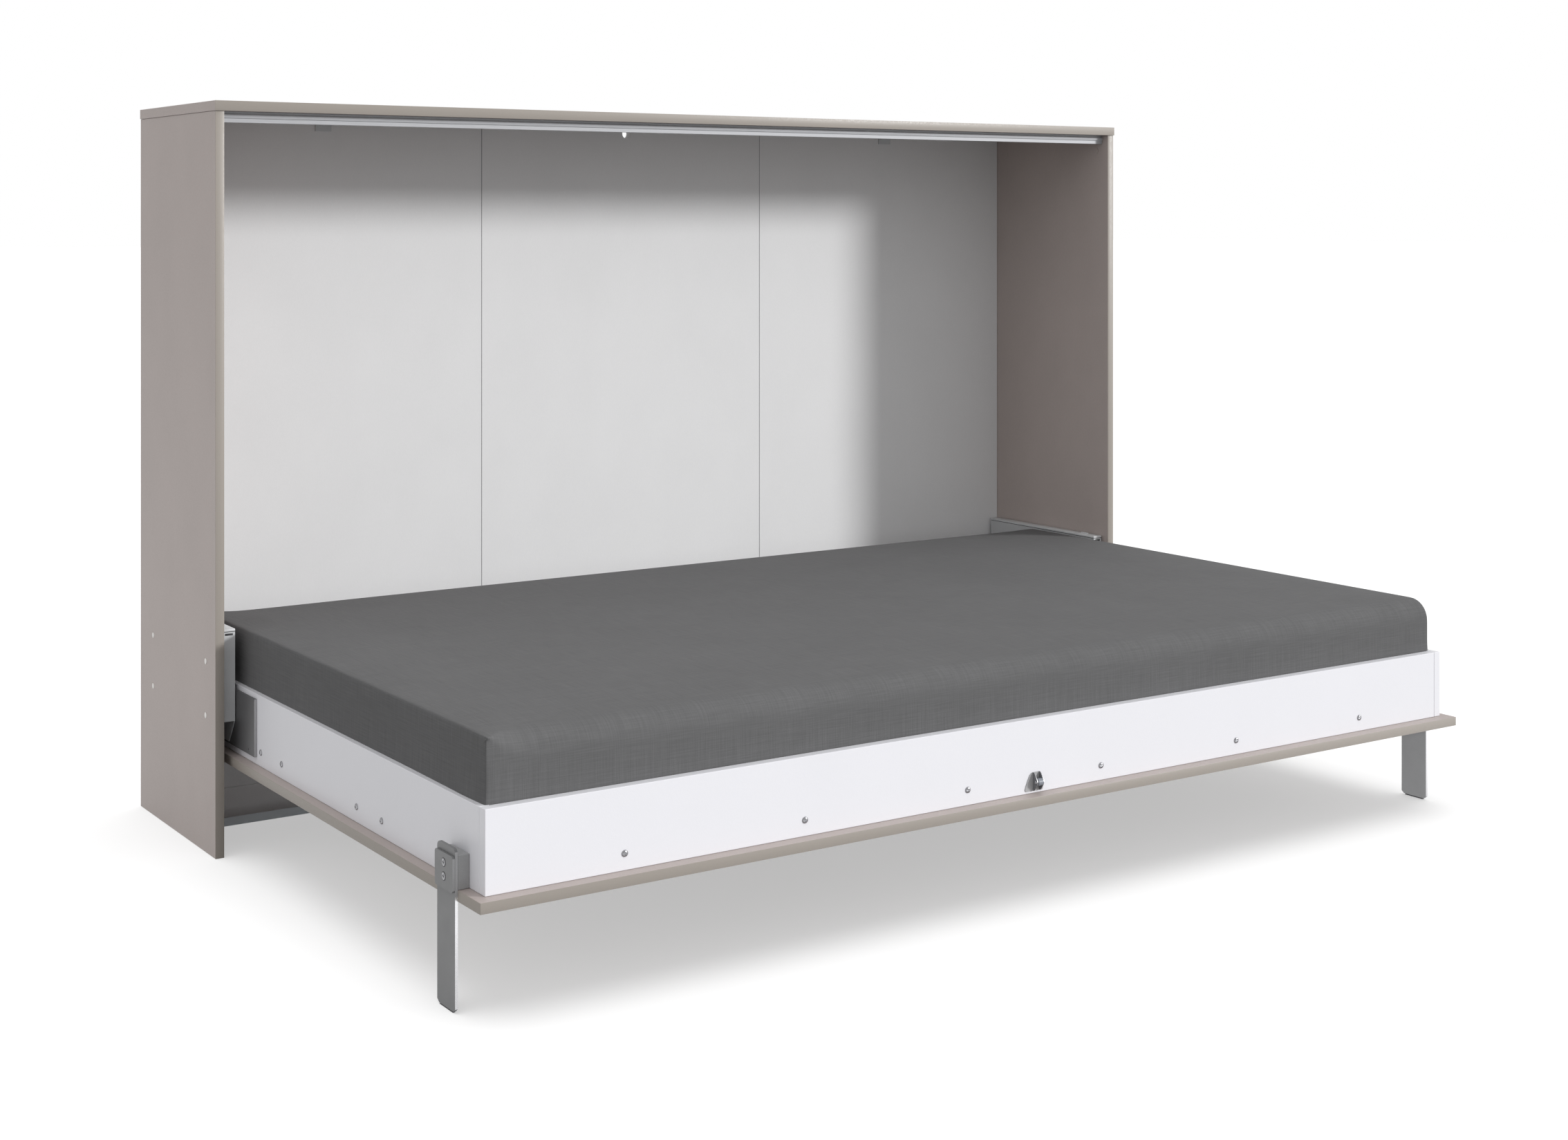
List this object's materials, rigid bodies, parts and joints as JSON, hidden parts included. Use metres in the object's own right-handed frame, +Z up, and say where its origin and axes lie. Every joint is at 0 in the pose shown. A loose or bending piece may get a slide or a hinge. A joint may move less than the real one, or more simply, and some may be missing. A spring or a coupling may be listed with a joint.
{
  "type": "horizontal murphy wall bed",
  "caption": "Low wide cabinet open at the front, with a mattress bed that folds down from it on side pivots to stand on flat hinged legs.",
  "frame": {"origin": "centre of the bounding box on the floor, with the bed folded down", "axes": "+X to the right seen from the bed's free side, +Y towards the wall, +Z up"},
  "size_m": [2.116, 1.4166, 1.3364],
  "materials": {
    "taupe_board": "melamine-faced board, satin taupe",
    "grey_board": "melamine-faced board, light grey",
    "white_board": "melamine-faced board, white",
    "grey_fabric": "dark grey woven cover over foam",
    "birch_ply": "bare plywood",
    "dark_steel": "dark grey powder coat",
    "grey_steel": "light grey powder coat",
    "zinc_steel": "zinc plated",
    "satin_aluminium": "satin anodised",
    "leg_steel": "mid-grey powder coat",
    "grey_plastic": "matt",
    "white_plastic": "satin",
    "black_plastic": "matt black"
  },
  "bodies": {
    "cabinet": {"left_side_panel": "taupe_board", "right_side_panel": "taupe_board", "top_panel": "taupe_board", "bottom_board": "grey_board", "back_panel_left": "grey_board", "back_panel_center": "grey_board", "back_panel_right": "grey_board", "stop_rail": "satin_aluminium", "wall_bracket_left": "grey_steel", "wall_bracket_right": "grey_steel", "cam_cap_left_front": "taupe_board", "cam_cap_left_rear": "taupe_board", "cam_cap_right_front": "taupe_board", "cam_cap_right_rear": "taupe_board", "hinge_base_plate_left": "zinc_steel", "hinge_cover_left": "grey_steel", "pivot_bush_left": "black_plastic", "hinge_bolt_left_front_lower": "white_plastic", "hinge_bolt_left_front_upper": "white_plastic", "hinge_bolt_left_rear_lower": "white_plastic", "hinge_bolt_left_rear_upper": "white_plastic", "hinge_base_plate_right": "zinc_steel", "hinge_cover_right": "grey_steel", "pivot_bush_right": "black_plastic", "hinge_bolt_right_front_lower": "white_plastic", "hinge_bolt_right_front_upper": "white_plastic", "hinge_bolt_right_rear_lower": "white_plastic", "hinge_bolt_right_rear_upper": "white_plastic"},
    "bed": {"front_panel": "taupe_board", "front_rail": "white_board", "rear_rail": "white_board", "left_rail": "white_board", "right_rail": "white_board", "deck_bearer_front": "birch_ply", "deck_bearer_middle": "birch_ply", "deck_bearer_rear": "birch_ply", "slatted_base": "birch_ply", "mattress": "grey_fabric", "catch_bracket": "zinc_steel", "catch_axle": "zinc_steel", "rail_hinge_plate_left": "dark_steel", "pivot_shaft_left": "zinc_steel", "leg_block_left": "leg_steel", "leg_hub_left": "zinc_steel", "leg_cover_left": "leg_steel", "rail_hinge_plate_right": "dark_steel", "pivot_shaft_right": "zinc_steel", "leg_block_right": "leg_steel", "leg_hub_right": "zinc_steel", "leg_cover_right": "leg_steel"},
    "leg_left": {"leg_left": "leg_steel", "foot_pad_left": "black_plastic"},
    "spring_cylinder_left": {"gas_spring_cylinder_left": "black_plastic"},
    "spring_rod_left": {"gas_spring_rod_left": "zinc_steel"},
    "leg_right": {"leg_right": "leg_steel", "foot_pad_right": "black_plastic"},
    "spring_cylinder_right": {"gas_spring_cylinder_right": "black_plastic"},
    "spring_rod_right": {"gas_spring_rod_right": "zinc_steel"},
    "catch_roller": {"catch_roller": "grey_plastic"}
  },
  "joints": [
    {"name": "bed_fold", "type": "hinge", "parent": "cabinet", "child": "bed", "pos_m": [0, 0.3627, 0.2348], "axis": [-1, 0, 0], "range_deg": [0, 90]},
    {"name": "leg_swing_left", "type": "hinge", "parent": "bed", "child": "leg_left", "pos_m": [-1.0313, -0.6068, 0.1998], "axis": [1, 0, 0], "range_deg": [0, 90]},
    {"name": "spring_tilt_left", "type": "hinge", "parent": "cabinet", "child": "spring_cylinder_left", "pos_m": [-1.02652, 0.6395, 0.285], "axis": [-1, 0, 0], "range_deg": [0, 1.88]},
    {"name": "spring_stroke_left", "type": "slide", "parent": "spring_cylinder_left", "child": "spring_rod_left", "axis": [0, -0.9593, -0.2823], "range_m": [0, 0.05027]},
    {"name": "leg_swing_right", "type": "hinge", "parent": "bed", "child": "leg_right", "pos_m": [1.0313, -0.6068, 0.1998], "axis": [1, 0, 0], "range_deg": [0, 90]},
    {"name": "spring_tilt_right", "type": "hinge", "parent": "cabinet", "child": "spring_cylinder_right", "pos_m": [1.02652, 0.6395, 0.285], "axis": [-1, 0, 0], "range_deg": [0, 1.88]},
    {"name": "spring_stroke_right", "type": "slide", "parent": "spring_cylinder_right", "child": "spring_rod_right", "axis": [0, -0.9593, -0.2823], "range_m": [0, 0.05027]},
    {"name": "roller_spin", "type": "hinge", "parent": "bed", "child": "catch_roller", "pos_m": [0, -0.6937, 0.1946], "axis": [1, 0, 0], "continuous": true}
  ],
  "couplings": [
    {"joint": "spring_tilt_left", "follows": "bed_fold", "ratio": 0.020675},
    {"joint": "spring_stroke_left", "follows": "bed_fold", "m_per_rad": 0.031876},
    {"joint": "spring_tilt_right", "follows": "bed_fold", "ratio": 0.020675},
    {"joint": "spring_stroke_right", "follows": "bed_fold", "m_per_rad": 0.031876}
  ]
}
